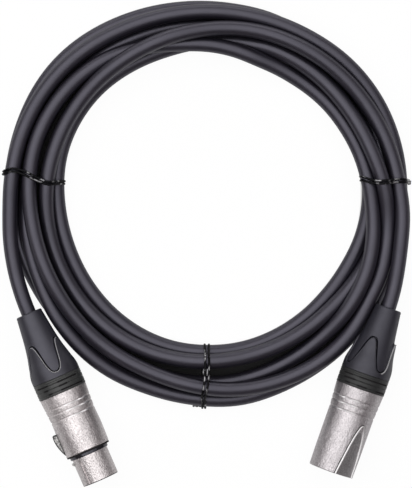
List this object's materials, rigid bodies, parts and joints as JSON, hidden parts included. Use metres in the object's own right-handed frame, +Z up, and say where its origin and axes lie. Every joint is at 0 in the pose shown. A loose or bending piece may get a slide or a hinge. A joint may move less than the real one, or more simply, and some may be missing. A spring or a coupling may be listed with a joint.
{
  "type": "coiled microphone cable",
  "caption": "Coiled balanced audio cable with a latching female and a male connector, each with a rubber boot, tied flat with wire ties.",
  "frame": {"origin": "middle of the whole part's footprint, on the surface that it lies on", "axes": "+Z up out of the flat coil, +Y from the connectors' tips towards the far side of the coil, +X from the female connector towards the male connector"},
  "size_m": [0.1749, 0.2078, 0.0212],
  "materials": {
    "cable_jacket": "satin black flexible PVC jacket",
    "tie_wire": "glossy black plastic cover on a soft wire",
    "nickel_shell": "velvet nickel plate on die-cast metal",
    "insert_plastic": "black glass-filled plastic",
    "contact_metal": "silver-plated contacts",
    "spring_steel": "bright spring steel",
    "chuck_plastic": "pale moulded plastic",
    "bushing_plastic": "satin black hard plastic, slightly green",
    "boot_rubber": "black rubber with a soft sheen",
    "core_shield": "bare twisted copper shield strands",
    "core_red": "red core insulation",
    "core_blue": "blue core insulation",
    "seal_rubber": "black sealing ring",
    "latch_plastic": "dark grey coated lever"
  },
  "bodies": {
    "root": {"cable_coil": "cable_jacket", "female_lead": "cable_jacket", "male_lead": "cable_jacket", "tie_left": "tie_wire", "tie_right": "tie_wire", "tie_bottom": "tie_wire", "female_shell": "nickel_shell", "female_insert": "insert_plastic", "female_face_1": "insert_plastic", "female_face_2": "insert_plastic", "female_face_3": "insert_plastic", "female_contact_1": "contact_metal", "female_contact_2": "contact_metal", "female_contact_3": "contact_metal", "female_ground_contact": "spring_steel", "female_chuck": "chuck_plastic", "female_bushing": "bushing_plastic", "female_boot": "boot_rubber", "female_core_1": "core_shield", "female_core_2": "core_red", "female_core_3": "core_blue", "seal_ring": "seal_rubber", "latch_pin": "spring_steel", "latch_spring": "spring_steel", "male_shell": "nickel_shell", "male_insert": "insert_plastic", "male_pin_1": "contact_metal", "male_pin_2": "contact_metal", "male_pin_3": "contact_metal", "male_ground_contact": "spring_steel", "male_chuck": "chuck_plastic", "male_bushing": "bushing_plastic", "male_boot": "boot_rubber", "male_core_1": "core_shield", "male_core_2": "core_red", "male_core_3": "core_blue"},
    "latch": {"latch_lever": "latch_plastic"}
  },
  "joints": [
    {"name": "latch_press", "type": "hinge", "parent": "root", "child": "latch", "pos_m": [-0.06124, -0.07603, 0.0106], "axis": [0, 0, 1], "range_deg": [0, 3], "stiffness_Nm_per_rad": 0.2, "springref_deg": -2.86, "deforming": ["latch_spring"]}
  ]
}
